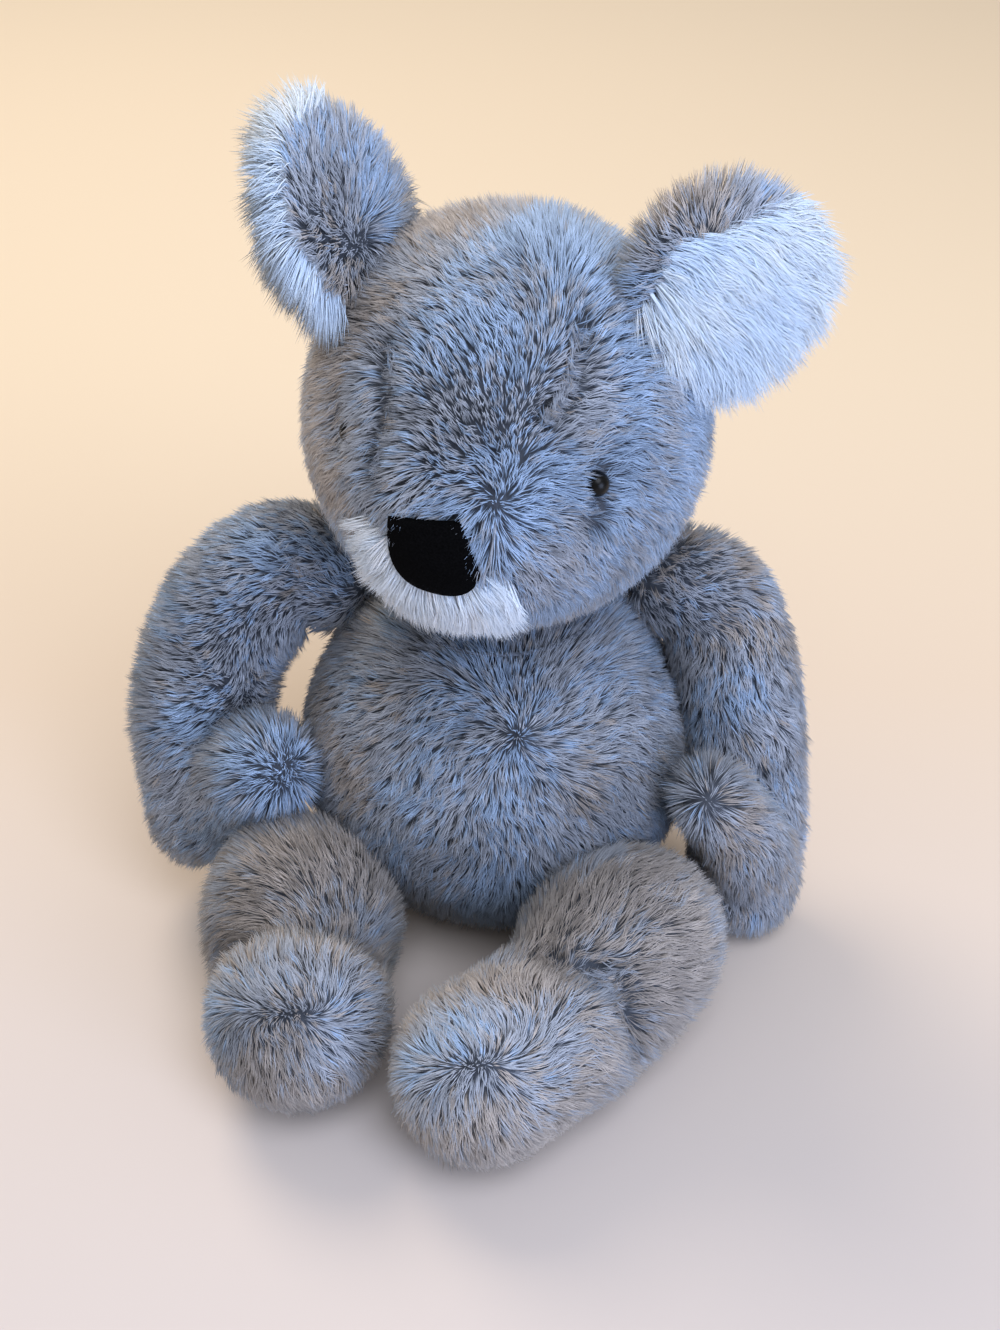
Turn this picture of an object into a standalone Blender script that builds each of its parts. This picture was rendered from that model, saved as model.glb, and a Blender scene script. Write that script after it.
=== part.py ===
"""A stuffed plush koala that sits: pile-fabric covers over fibre filling, a pellet bag in the
seat, a sewn-on nose, shanked bead eyes, and a head, ears, arms and legs that swing at their seams.

Metres, +Z up. The origin is the middle of the flat spot that the koala sits on. It looks
towards -Y, so its own left is +X.
"""

import math

import bmesh
import bpy
from mathutils import Matrix, Vector

# Fabric and clearances
PILE = 0.0080
GAP = 0.0003
OVERRUN = 0.0040

# Torso: an egg, widest below its middle, with a neck dome that fills the head's open underside
TORSO_WIDTH = 0.1190
TORSO_DEPTH = 0.1160
TORSO_HEIGHT = 0.1150
TORSO_TAPER_SHARE = 0.06
SEAT_SINK = 0.0005
NECK_RADIUS = 0.0260
NECK_HEIGHT = 0.1060
NECK_OPENING = 0.0120
PELLET_LEVEL = 0.0240

# Thread that closes the neck seam
NECK_THREAD = 0.0006
NECK_THREAD_RING = 0.0288

# Head: a ball with a blunt muzzle, turned and tipped as it sits
HEAD_WIDTH = 0.1130
HEAD_DEPTH = 0.1120
HEAD_HEIGHT = 0.1150
HEAD_RISE = 0.0600
HEAD_OFFSET = 0.0016
HEAD_TURN = -14.0
HEAD_TIP = 5.0
MUZZLE_RISE = 0.0080
MUZZLE_DROP = -6.0
MUZZLE_SHARPNESS = 7

# White chin panel and the nose above it
CHIN_WIDTH = 0.0580
CHIN_HEIGHT = 0.0340
CHIN_TOP = -0.0090
CHIN_ASIDE = -0.0040
NOSE_WIDTH = 0.0260
NOSE_HEIGHT = 0.0290
NOSE_THICKNESS = 0.0032
NOSE_TILT = -3.0

# Bead eyes on shanks, each held by a washer inside the cover
EYE_AZIMUTH = 37.3
EYE_ELEVATION = 11.6
EYE_RADIUS = 0.0032
EYE_SUNK = 0.0032
EYE_POCKET = 0.0042
SHANK_RADIUS = 0.0014
SHANK_TAIL = 0.0030
WASHER_RADIUS = 0.0052
WASHER_THICKNESS = 0.0014

# Ears: flat cushions, grey behind and white in front. Each has its own lean.
EAR_LENGTH = 0.0560
EAR_BREADTH = 0.0540
EAR_THICKNESS = 0.0190
EAR_ROOT = 0.0140
EAR_ROLL = 0.0088
EAR_ROLL_LENGTH = 0.0480
EAR_STANDOFF = 0.0120
EAR_FOLD = 20.0
FOLD_SHARES = (-1, -0.5, 0, 0.5, 1)
FLUFF_LENGTH = 0.0070
FLUFF_DROOP = 0.0060
# Directions in the room: from the head's middle to the ear, up the ear, and the way that it faces
EARS = {
    "left": {"place": (0.730, -0.130, 0.600), "out": (0.90, 0.40, 0.17), "face": (0.40, -0.90, 0.12)},
    "right": {"place": (-0.600, 0.100, 0.790), "out": (-0.455, 0.09, 0.886), "face": (-0.785, 0.433, -0.443)},
}

# Arms: tubes that bow out from the shoulder, with the paw folded in
ARM_RADIUS = 0.0210
ARM_LENGTH = 0.1000
ARM_OPENING = 0.0085
SHOULDER_SHARE = 0.88
SHOULDER_BACK = 0.0155
SHOULDER_SPREAD_SHARE = 0.4118
SHOULDER_HEIGHT_SHARE = 0.90
# Rows of centre and radius: shares of ARM_LENGTH from the shoulder, and of ARM_RADIUS
ARM_SHARES = {
    "left": (
        (0.000, 0.000, 0.000, SHOULDER_SHARE),
        (0.151, -0.043, -0.035, 0.881),
        (0.253, -0.130, -0.183, 0.881),
        (0.288, -0.215, -0.410, 0.876),
        (0.288, -0.305, -0.645, 0.886),
        (0.275, -0.370, -0.841, 0.905),
    ),
    "right": (
        (0.000, 0.000, 0.000, SHOULDER_SHARE),
        (-0.133, 0.002, 0.079, 0.924),
        (-0.260, -0.035, 0.017, 0.976),
        (-0.352, -0.085, -0.129, 1.033),
        (-0.402, -0.140, -0.315, 1.071),
        (-0.418, -0.195, -0.500, 1.048),
        (-0.412, -0.235, -0.675, 1.010),
    ),
}
PAW_SHARES = {
    "left": (
        (0.273, -0.395, -0.743, 0.838),
        (0.233, -0.485, -0.583, 0.762),
        (0.128, -0.535, -0.393, 0.638),
    ),
    "right": (
        (-0.375, -0.245, -0.595, 0.933),
        (-0.325, -0.295, -0.480, 0.867),
        (-0.242, -0.405, -0.349, 0.790),
    ),
}

# Legs: a thigh ball that seats in the torso, a narrower ankle and a round foot
THIGH_RADIUS = 0.0300
LEG_LENGTH = 0.0630
LEG_OPENING = 0.0110
LEG_LIFT = 0.0004
LEG_PLACES = {"left": (0.0345, -0.0610), "right": (-0.0580, -0.0500)}
# Rows of centre and radius: shares of LEG_LENGTH forward of the thigh's centre, and of THIGH_RADIUS.
# Every row rests on the ground, so its height is its own radius.
LEG_SHARES = {
    "left": (
        (0.000, 0.000, 1.00),
        (-0.210, -0.310, 0.86),
        (-0.420, -0.540, 0.87),
        (-0.625, -0.710, 0.88),
    ),
    "right": (
        (0.000, 0.000, 1.00),
        (0.030, -0.310, 0.86),
        (0.045, -0.440, 0.86),
        (0.045, -0.590, 0.885),
    ),
}

# Facets
BALL_SEGMENTS, BALL_RINGS = 30, 18
SEAT_SEGMENTS, SEAT_RINGS = 20, 12
CORE_SEGMENTS, CORE_RINGS = 16, 10
TUBE_SIDES, TUBE_STEPS, CAP_STEPS = 16, 3, 3
CORE_SIDES, CORE_STEPS, CORE_CAP_STEPS = 10, 2, 2
THREAD_SIDES, THREAD_STEPS = 6, 24


def linear(value):
    return value / 12.92 if value <= 0.04045 else ((value + 0.055) / 1.055) ** 2.4


def material(name, colour, roughness):
    made = bpy.data.materials.new(name)
    made.use_nodes = True
    shader = made.node_tree.nodes["Principled BSDF"]
    channels = [linear(int(colour[i : i + 2], 16) / 255) for i in (0, 2, 4)]
    shader.inputs["Base Color"].default_value = (*channels, 1)
    shader.inputs["Roughness"].default_value = roughness
    shader.inputs["Metallic"].default_value = 0
    made.diffuse_color = (*channels, 1)
    return made


def add_object(name, bm, look=None, parent=None):
    """The bmesh, given in world space, as an object whose origin is its parent empty's."""
    bmesh.ops.recalc_face_normals(bm, faces=bm.faces)
    mesh = bpy.data.meshes.new(name)
    if parent:
        bmesh.ops.transform(bm, matrix=parent.matrix_world.inverted(), verts=bm.verts)
    bm.to_mesh(mesh)
    bm.free()
    mesh.shade_smooth()
    mesh.set_sharp_from_angle(angle=math.radians(50))
    if look:
        mesh.materials.append(look)
    made = bpy.data.objects.new(name, mesh)
    made.parent = parent
    bpy.context.scene.collection.objects.link(made)
    return made


def add_pivot(name, place, parent=None):
    """An empty on a joint's axis, which carries the pieces that turn about it."""
    pivot = bpy.data.objects.new(name, None)
    pivot.empty_display_size = GAP
    pivot.parent = parent
    pivot.location = place - (parent.matrix_world.translation if parent else Vector())
    bpy.context.scene.collection.objects.link(pivot)
    bpy.context.view_layer.update()
    return pivot


def combine(target, bm, operation="DIFFERENCE"):
    """Cuts, joins or meets the target with a hidden tool made from the bmesh."""
    tool = add_object(f"{target.name}_tool_{len(target.modifiers)}", bm, parent=target.parent)
    tool.hide_render = True
    tool.display_type = "WIRE"
    tool.hide_set(True)
    modifier = target.modifiers.new(tool.name, "BOOLEAN")
    modifier.operation = operation
    modifier.object = tool


def ball(centre, radius, segments=SEAT_SEGMENTS, rings=SEAT_RINGS):
    bm = bmesh.new()
    bmesh.ops.create_uvsphere(bm, u_segments=segments, v_segments=rings, radius=radius)
    bmesh.ops.translate(bm, verts=bm.verts, vec=centre)
    return bm


def seat_margin(radius, segments=SEAT_SEGMENTS, rings=SEAT_RINGS):
    """How much larger a faceted ball is made, so that its flats clear a ball of this radius by the gap."""
    return (radius + GAP) / (math.cos(math.pi / segments) * math.cos(math.pi / (2 * rings))) - radius


def seat_ball(place, radius):
    return ball(place, radius + seat_margin(radius))


def cylinder(start, end, radius, sides=24):
    """A closed cylinder between two points."""
    bm = bmesh.new()
    axis = end - start
    bmesh.ops.create_cone(
        bm, cap_ends=True, segments=sides, radius1=radius, radius2=radius, depth=axis.length
    )
    turn = axis.to_track_quat("Z", "Y").to_matrix().to_4x4()
    bmesh.ops.transform(bm, matrix=Matrix.Translation((start + end) / 2) @ turn, verts=bm.verts)
    return bm


def torso_point(unit, inset):
    """The egg's surface in the direction of a unit vector, drawn in by the inset."""
    swell = 1 - TORSO_TAPER_SHARE * unit.z
    x = unit.x * (TORSO_WIDTH / 2 - inset) * swell
    y = unit.y * (TORSO_DEPTH / 2 - inset) * swell
    half_height = (TORSO_HEIGHT + SEAT_SINK) / 2
    return Vector((x, y, half_height - SEAT_SINK + unit.z * (half_height - inset)))


def torso_ball(inset, segments, rings):
    bm = bmesh.new()
    bmesh.ops.create_uvsphere(bm, u_segments=segments, v_segments=rings, radius=1)
    for vert in bm.verts:
        vert.co = torso_point(vert.co.copy(), inset)
    bmesh.ops.triangulate(bm, faces=bm.faces, quad_method="FIXED")
    return bm


HEAD_TILT = Matrix.Rotation(math.radians(HEAD_TURN), 4, "Z")
HEAD_TILT @= Matrix.Rotation(math.radians(HEAD_TIP), 4, "Y")
NECK_POINT = Vector((0, 0, NECK_HEIGHT))
HEAD_CENTRE = NECK_POINT + Vector((HEAD_OFFSET, 0, HEAD_RISE))
HEAD_MATRIX = Matrix.Translation(HEAD_CENTRE) @ HEAD_TILT


def face_direction(azimuth, elevation):
    """A unit vector in the head's own frame. Azimuth 0 is the face, and positive is its left."""
    a, e = math.radians(azimuth), math.radians(elevation)
    return Vector((math.sin(a) * math.cos(e), -math.cos(a) * math.cos(e), math.sin(e)))


MUZZLE_AIM = face_direction(0, MUZZLE_DROP)


def head_point(unit, lift):
    """The head's surface along a direction in its own frame, raised by the lift."""
    bulge = MUZZLE_RISE * max(0, unit.dot(MUZZLE_AIM)) ** MUZZLE_SHARPNESS
    half = Vector((HEAD_WIDTH / 2, HEAD_DEPTH / 2, HEAD_HEIGHT / 2))
    return Vector((unit.x * half.x, unit.y * half.y, unit.z * half.z)) + unit * (bulge + lift)


def head_ball(inset, segments, rings):
    bm = bmesh.new()
    bmesh.ops.create_uvsphere(bm, u_segments=segments, v_segments=rings, radius=1)
    for vert in bm.verts:
        vert.co = head_point(vert.co.copy(), -inset)
    bmesh.ops.transform(bm, matrix=HEAD_MATRIX, verts=bm.verts)
    bmesh.ops.triangulate(bm, faces=bm.faces, quad_method="FIXED")
    return bm


def smooth_route(rows, steps):
    """Points on a curve through all the rows, which hold a centre and a radius each."""
    route = []
    for index in range(len(rows) - 1):
        before = rows[max(index - 1, 0)]
        start, end = rows[index], rows[index + 1]
        after = rows[min(index + 2, len(rows) - 1)]
        for step in range(steps):
            t = step / steps
            square = (2 * before - 5 * start + 4 * end - after) * t**2
            cube = (3 * start - before - 3 * end + after) * t**3
            route.append((2 * start + (end - before) * t + square + cube) / 2)
    route.append(rows[-1])
    return route


def aligned(frame, axis):
    """The frame of the circle before, turned as little as can be to face along the axis."""
    old = frame @ Vector((0, 0, 1))
    return old.rotation_difference(axis) @ frame


def tube(rows, inset, sides, steps, cap_steps):
    """A closed round-ended tube through rows of (x, y, z, radius), drawn in by the inset."""
    route = smooth_route([Vector(row) for row in rows], steps)
    points = [row.to_3d() for row in route]
    radii = [row.w - inset for row in route]
    tangents = []
    for index in range(len(points)):
        ahead = points[min(index + 1, len(points) - 1)]
        behind = points[max(index - 1, 0)]
        tangents.append((ahead - behind).normalized())
    rings = list(zip(points, tangents, radii))
    for step in range(1, cap_steps + 1):
        angle = math.pi / 2 * step / (cap_steps + 0.5)
        before = points[0] - tangents[0] * radii[0] * math.sin(angle)
        beyond = points[-1] + tangents[-1] * radii[-1] * math.sin(angle)
        rings.insert(0, (before, tangents[0], radii[0] * math.cos(angle)))
        rings.append((beyond, tangents[-1], radii[-1] * math.cos(angle)))
    bm = bmesh.new()
    loops, frame = [], None
    for centre, axis, radius in rings:
        frame = aligned(frame, axis) if frame else axis.to_track_quat("Z", "Y")
        matrix = Matrix.Translation(centre) @ frame.to_matrix().to_4x4()
        made = bmesh.ops.create_circle(bm, segments=sides, radius=radius, matrix=matrix)
        loops.append(list({edge for vert in made["verts"] for edge in vert.link_edges}))
    for one, other in zip(loops, loops[1:]):
        bmesh.ops.bridge_loops(bm, edges=one + other)
    bmesh.ops.edgeloop_fill(bm, edges=loops[0])
    bmesh.ops.edgeloop_fill(bm, edges=loops[-1])
    return bm


def add_limb(name, parent, tubes, seat, inner_aim, opening, look):
    """A limb's cover, open where it is sewn on, and the filling inside it, which comes out to the seam."""
    centre, radius = seat
    cover = add_object(f"{name}_cover", tube(tubes[0], 0, TUBE_SIDES, TUBE_STEPS, CAP_STEPS), look, parent)
    filling = add_object(
        f"{name}_filling", tube(tubes[0], PILE + GAP, CORE_SIDES, CORE_STEPS, CORE_CAP_STEPS), FILLING, parent
    )
    hollow = [tube(rows, PILE, CORE_SIDES, CORE_STEPS, CORE_CAP_STEPS) for rows in tubes]
    for rows in tubes[1:]:
        combine(cover, tube(rows, 0, TUBE_SIDES, TUBE_STEPS, CAP_STEPS), "UNION")
        combine(filling, tube(rows, PILE + GAP, CORE_SIDES, CORE_STEPS, CORE_CAP_STEPS), "UNION")
    for bm in hollow:
        combine(cover, bm)
    mouth = centre + inner_aim * math.sqrt((radius - GAP) ** 2 - opening**2)
    combine(cover, cylinder(centre, centre + inner_aim * (radius + OVERRUN), opening, CORE_SIDES))
    combine(filling, cylinder(centre, mouth, opening - GAP, CORE_SIDES), "UNION")


for old in list(bpy.data.objects):
    bpy.data.objects.remove(old)

GREY_PLUSH = material("grey_plush", "8A8B93", 0.95)
WHITE_PLUSH = material("white_plush", "E9EBF0", 0.95)
BLACK_SUEDE = material("black_suede", "0B0B0D", 0.90)
BLACK_BEAD = material("black_bead", "060607", 0.15)
CLEAR_PLASTIC = material("washer_plastic", "DADAD6", 0.45)
FILLING = material("fibre_filling", "F4F2EC", 1.00)
PELLETS = material("pellet_bag", "CFCBC0", 0.85)
THREAD = material("grey_thread", "6E7078", 0.80)

# Places shared by pieces that seat in each other
TORSO_CENTRE = Vector((0, 0, (TORSO_HEIGHT - SEAT_SINK) / 2))
SHOULDER_SPREAD = TORSO_WIDTH * SHOULDER_SPREAD_SHARE
SHOULDER_HEIGHT = TORSO_HEIGHT * SHOULDER_HEIGHT_SHARE
SHOULDERS = {
    side: Vector((sign * SHOULDER_SPREAD, SHOULDER_BACK, SHOULDER_HEIGHT))
    for side, sign in (("left", 1), ("right", -1))
}
HIPS = {side: Vector((*LEG_PLACES[side], THIGH_RADIUS + LEG_LIFT)) for side in LEG_PLACES}
SHOULDER_RADIUS = ARM_RADIUS * SHOULDER_SHARE
SEATS = [(place, SHOULDER_RADIUS) for place in SHOULDERS.values()]
SEATS += [(place, THIGH_RADIUS) for place in HIPS.values()]

# Torso cover: the egg and its neck dome, hollowed where the limbs seat and flat underneath
torso_cover = add_object("torso_cover", torso_ball(0, BALL_SEGMENTS, BALL_RINGS), GREY_PLUSH)
combine(torso_cover, ball(NECK_POINT, NECK_RADIUS), "UNION")
combine(torso_cover, torso_ball(PILE, CORE_SEGMENTS, CORE_RINGS))
combine(torso_cover, ball(NECK_POINT, NECK_RADIUS - PILE, CORE_SEGMENTS, CORE_RINGS))
neck_top = NECK_POINT + Vector((0, 0, NECK_RADIUS + OVERRUN))
combine(torso_cover, cylinder(NECK_POINT, neck_top, NECK_OPENING))
for place, radius in SEATS:
    combine(torso_cover, seat_ball(place, radius))
below = Vector((0, 0, -SEAT_SINK - OVERRUN))
combine(torso_cover, cylinder(below, Vector(), TORSO_WIDTH))

# Pellet bag in the seat, with the filling above it up to the neck
torso_filling = add_object("torso_filling", torso_ball(PILE + GAP, CORE_SEGMENTS, CORE_RINGS), FILLING)
combine(torso_filling, ball(NECK_POINT, NECK_RADIUS - PILE - GAP, CORE_SEGMENTS, CORE_RINGS), "UNION")
neck_mouth = NECK_POINT + Vector((0, 0, math.sqrt((NECK_RADIUS - GAP) ** 2 - NECK_OPENING**2)))
combine(torso_filling, cylinder(NECK_POINT, neck_mouth, NECK_OPENING - GAP), "UNION")
combine(torso_filling, cylinder(below, Vector((0, 0, PELLET_LEVEL + GAP)), TORSO_WIDTH))
pellet_bag = add_object("pellet_bag", torso_ball(PILE + GAP, CORE_SEGMENTS, CORE_RINGS), PELLETS)
lid = Vector((0, 0, TORSO_HEIGHT + OVERRUN))
combine(pellet_bag, cylinder(Vector((0, 0, PELLET_LEVEL)), lid, TORSO_WIDTH))
for place, radius in SEATS:
    combine(torso_filling, seat_ball(place, radius))
    combine(pellet_bag, seat_ball(place, radius))

# Drawn-up thread round the neck seam, resting on the torso's shoulders
ring_share = NECK_THREAD_RING / (min(TORSO_WIDTH, TORSO_DEPTH) / 2)
ring_height = torso_point(Vector((ring_share, 0, math.sqrt(1 - ring_share**2))), 0).z
ring_place = Vector((0, 0, ring_height + NECK_THREAD + GAP))
neck_pivot = add_pivot("neck_turn_pivot", NECK_POINT)
bm = bmesh.new()
section = Matrix.Translation(ring_place + Vector((NECK_THREAD_RING, 0, 0)))
section @= Matrix.Rotation(math.pi / 2, 4, "X")
bmesh.ops.create_circle(bm, segments=THREAD_SIDES, radius=NECK_THREAD, matrix=section)
bmesh.ops.spin(
    bm, geom=bm.verts[:] + bm.edges[:], cent=ring_place, axis=Vector((0, 0, 1)), angle=2 * math.pi,
    steps=THREAD_STEPS, use_merge=True,
)
add_object("neck_thread", bm, THREAD, neck_pivot)

# Head cover: the ball and muzzle, open over the neck dome
head_pivot = add_pivot("neck_nod_pivot", NECK_POINT, neck_pivot)
head_cover = add_object("head_cover", head_ball(0, BALL_SEGMENTS, BALL_RINGS), GREY_PLUSH, head_pivot)
combine(head_cover, head_ball(PILE, CORE_SEGMENTS, CORE_RINGS))
combine(head_cover, seat_ball(NECK_POINT, NECK_RADIUS))
core = head_ball(PILE + GAP, CORE_SEGMENTS, CORE_RINGS)
head_filling = add_object("head_filling", core, FILLING, head_pivot)
combine(head_filling, seat_ball(NECK_POINT, NECK_RADIUS))


def chin_block(margin):
    """The D-shaped outline of the chin panel, pushed through the front of the head."""
    bm = bmesh.new()
    made = bmesh.ops.create_circle(bm, segments=28, radius=1, cap_ends=True)
    scale = Matrix.Diagonal((CHIN_WIDTH / 2 + margin, CHIN_HEIGHT + margin, 1, 1))
    bmesh.ops.transform(bm, matrix=scale, verts=made["verts"])
    cut = bmesh.ops.bisect_plane(
        bm, geom=bm.verts[:] + bm.edges[:] + bm.faces[:], plane_co=(0, margin, 0), plane_no=(0, 1, 0),
        clear_outer=True,
    )
    pushed = bmesh.ops.extrude_face_region(bm, geom=bm.faces[:])
    verts = [item for item in pushed["geom"] if isinstance(item, bmesh.types.BMVert)]
    bmesh.ops.translate(bm, verts=verts, vec=(0, 0, HEAD_DEPTH))
    stand = Matrix.Translation((CHIN_ASIDE, -PILE, CHIN_TOP)) @ Matrix.Rotation(math.pi / 2, 4, "X")
    bmesh.ops.transform(bm, matrix=HEAD_MATRIX @ stand, verts=bm.verts)
    return bm


# White chin panel, let into the head cover
chin_panel = add_object("chin_panel", head_ball(0, BALL_SEGMENTS, BALL_RINGS), WHITE_PLUSH, head_pivot)
combine(chin_panel, head_ball(PILE, CORE_SEGMENTS, CORE_RINGS))
combine(chin_panel, chin_block(0), "INTERSECT")
combine(head_cover, chin_block(GAP))

# Nose: a domed suede pad sewn over the top of the chin panel
bm = bmesh.new()
poles_forward = Matrix.Rotation(math.pi / 2, 4, "X")
bmesh.ops.create_uvsphere(bm, u_segments=SEAT_SEGMENTS, v_segments=CORE_RINGS, radius=1, matrix=poles_forward)
for vert in bm.verts:
    aim = face_direction(0, NOSE_TILT) * (HEAD_DEPTH / 2)
    aim += Vector((vert.co.x * NOSE_WIDTH / 2, 0, vert.co.z * NOSE_HEIGHT / 2))
    vert.co = head_point(aim.normalized(), GAP + NOSE_THICKNESS * max(0, -vert.co.y))
bmesh.ops.transform(bm, matrix=HEAD_MATRIX, verts=bm.verts)
add_object("nose_pad", bm, BLACK_SUEDE, head_pivot)

# Eyes: each bead sits in a pocket of the pile, and its shank passes the cover to a washer inside
for side, sign in (("left", 1), ("right", -1)):
    aim = face_direction(sign * EYE_AZIMUTH, EYE_ELEVATION)
    surface = HEAD_MATRIX @ head_point(aim, 0)
    inward = (HEAD_CENTRE - surface).normalized()
    bead_centre = surface + inward * EYE_SUNK
    pocket_end = bead_centre + inward * (EYE_RADIUS + GAP)
    washer_start = surface + inward * (PILE + GAP)
    washer_end = washer_start + inward * WASHER_THICKNESS
    shank_end = washer_end + inward * SHANK_TAIL
    outside = surface - inward * OVERRUN
    eye = add_object(f"eye_{side}", ball(bead_centre, EYE_RADIUS, 12, 8), BLACK_BEAD, head_pivot)
    combine(eye, cylinder(bead_centre, shank_end, SHANK_RADIUS, 12), "UNION")
    combine(head_cover, cylinder(outside, pocket_end, EYE_POCKET, 16))
    combine(head_cover, cylinder(outside, shank_end, SHANK_RADIUS + GAP, 12))
    combine(head_cover, cylinder(washer_start - inward * GAP, shank_end, WASHER_RADIUS + GAP, 20))
    washer = add_object(
        f"eye_washer_{side}", cylinder(washer_start, washer_end, WASHER_RADIUS, 20), CLEAR_PLASTIC, head_pivot
    )
    combine(washer, cylinder(pocket_end, shank_end, SHANK_RADIUS + GAP, 12))
    combine(head_filling, cylinder(outside, washer_end + inward * GAP, WASHER_RADIUS + GAP, 20))
    combine(head_filling, cylinder(outside, shank_end + inward * GAP, SHANK_RADIUS + GAP, 12))


def spindle(root, along, margin):
    """The rolled root of an ear: a long ball about the line that it folds on."""
    bm = ball(Vector(), 1)
    scale = Matrix.Diagonal((EAR_ROLL + margin, EAR_ROLL + margin, EAR_ROLL_LENGTH / 2 + margin, 1))
    turn = along.to_track_quat("Z", "Y").to_matrix().to_4x4()
    bmesh.ops.transform(bm, matrix=Matrix.Translation(root) @ turn @ scale, verts=bm.verts)
    return bm


def add_ear(side, lean):
    """An ear's grey back and white lining, two half cushions on one rolled root."""
    place, out, face = (Vector(lean[key]).normalized() for key in ("place", "out", "face"))
    face = (face - out * face.dot(out)).normalized()
    along = face.cross(out)
    reach = (HEAD_MATRIX.inverted() @ (HEAD_CENTRE + place)).normalized()
    centre = HEAD_MATRIX @ head_point(reach, EAR_STANDOFF)
    root = centre - out * EAR_ROOT
    pivot = add_pivot(f"ear_{side}_pivot", root, head_pivot)
    axes = Matrix((along, out, face)).transposed().to_4x4()
    halves = Matrix.Diagonal((EAR_BREADTH / 2, EAR_LENGTH / 2, EAR_THICKNESS / 2, 1))
    for part, sign, look in (("back", -1, GREY_PLUSH), ("lining", 1, WHITE_PLUSH)):
        bm = ball(Vector(), 1)
        bmesh.ops.transform(bm, matrix=Matrix.Translation(centre) @ axes @ halves, verts=bm.verts)
        if part == "lining":
            for vert in bm.verts:
                vert.co += (vert.co - centre).normalized() * FLUFF_LENGTH - Vector((0, 0, FLUFF_DROOP))
        half = add_object(f"ear_{side}_{part}", bm, look, pivot)
        combine(half, cylinder(root - out * EAR_LENGTH, root, EAR_BREADTH))
        for share in FOLD_SHARES:
            turn = Matrix.Rotation(math.radians(EAR_FOLD) * share, 4, along)
            swung = head_ball(-GAP, BALL_SEGMENTS, BALL_RINGS)
            bmesh.ops.transform(
                swung, matrix=Matrix.Translation(root) @ turn @ Matrix.Translation(-root), verts=swung.verts
            )
            combine(half, swung)
        combine(half, spindle(root, along, 0), "UNION")
        parting = centre + face * sign * GAP / 2
        combine(half, cylinder(parting - face * sign * EAR_LENGTH, parting, EAR_BREADTH))
    combine(head_cover, spindle(root, along, seat_margin(EAR_ROLL)))
    combine(head_filling, spindle(root, along, seat_margin(EAR_ROLL)))


for side, lean in EARS.items():
    add_ear(side, lean)

# Arms
for side, shoulder in SHOULDERS.items():
    pivot = add_pivot(f"shoulder_{side}_pivot", shoulder)
    tubes = []
    for shares in (ARM_SHARES[side], PAW_SHARES[side]):
        rows = [(*(shoulder + Vector(row[:3]) * ARM_LENGTH), row[3] * ARM_RADIUS) for row in shares]
        tubes.append(rows)
    inner_aim = (TORSO_CENTRE - shoulder).normalized()
    add_limb(f"arm_{side}", pivot, tubes, (shoulder, SHOULDER_RADIUS), inner_aim, ARM_OPENING, GREY_PLUSH)

# Legs
for side, hip in HIPS.items():
    pivot = add_pivot(f"hip_{side}_pivot", hip)
    rows = []
    for x, y, radius_share in LEG_SHARES[side]:
        radius = radius_share * THIGH_RADIUS
        rows.append((hip.x + x * LEG_LENGTH, hip.y + y * LEG_LENGTH, radius + LEG_LIFT, radius))
    inner_aim = (TORSO_CENTRE - hip).normalized()
    add_limb(f"leg_{side}", pivot, [rows], (hip, THIGH_RADIUS), inner_aim, LEG_OPENING, GREY_PLUSH)
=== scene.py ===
"""A seated plush koala: long grey pile over stuffed skins, white fluff in the ears and on the chin,
a black suede nose and bead eyes. Metres, +Z up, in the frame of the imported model."""

import math

import bmesh
import bpy
import numpy as np
from mathutils import Matrix, Vector, kdtree


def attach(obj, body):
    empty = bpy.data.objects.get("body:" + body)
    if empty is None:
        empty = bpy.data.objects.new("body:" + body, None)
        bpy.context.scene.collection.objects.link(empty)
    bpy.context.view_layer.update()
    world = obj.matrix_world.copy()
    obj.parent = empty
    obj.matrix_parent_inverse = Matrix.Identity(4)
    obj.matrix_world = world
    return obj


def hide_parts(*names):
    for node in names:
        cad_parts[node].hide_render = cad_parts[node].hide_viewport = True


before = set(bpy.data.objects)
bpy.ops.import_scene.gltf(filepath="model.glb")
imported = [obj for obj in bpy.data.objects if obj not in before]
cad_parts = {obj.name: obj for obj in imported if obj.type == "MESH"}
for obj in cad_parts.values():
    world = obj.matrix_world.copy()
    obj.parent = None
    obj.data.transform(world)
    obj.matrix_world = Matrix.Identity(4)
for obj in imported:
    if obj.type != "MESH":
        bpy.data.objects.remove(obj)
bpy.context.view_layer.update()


# ---- Torso ------------------------------------------------------------------------------------
# The body is an egg of knitted pile fabric, sewn from four panels and stuffed firm with fibre.
# Its pile is combed away from a whorl on the belly. The head, arms and legs are sewn on at seats.

# Lengths and places are in mm, and MM makes them metres.
MM = 0.001
PILE_DEPTH = 4.8  # from the surface of the combed pile down to the knitted ground
TORSO_HALVES = (59.5, 58.0, 57.75)
TORSO_MIDDLE = (0.0, 0.0, 57.25)
TORSO_TAPER = 0.06  # how the torso narrows upwards
TORSO_SETTLED = (0.05, 0.04)  # how the stuffing bulges to the toy's right, and how much more so upwards
HEAD_MIDDLE = (1.6, 0.0, 166.0)
HEAD_HALVES = (56.5, 56.0, 57.5)
SHOULDERS = {"left": (49.0, 15.5, 103.5), "right": (-49.0, 15.5, 103.5)}
HIPS = {"left": (34.5, -61.0, 30.4), "right": (-58.0, -50.0, 30.4)}
ARM_RADIUS = 21.0
SHOULDER_RADIUS = 18.5
THIGH_RADIUS = 30.0
SEAM_GAP = 0.8
BARE_RIM = 1.6  # round a seat, where a limb covers the ground
SKIN_FLOOR = 1.0  # that a skin keeps over the floor, for the pile pressed under it
COLLAR = (92, 107)  # where the pile gets longer and stands up towards the neck
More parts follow.
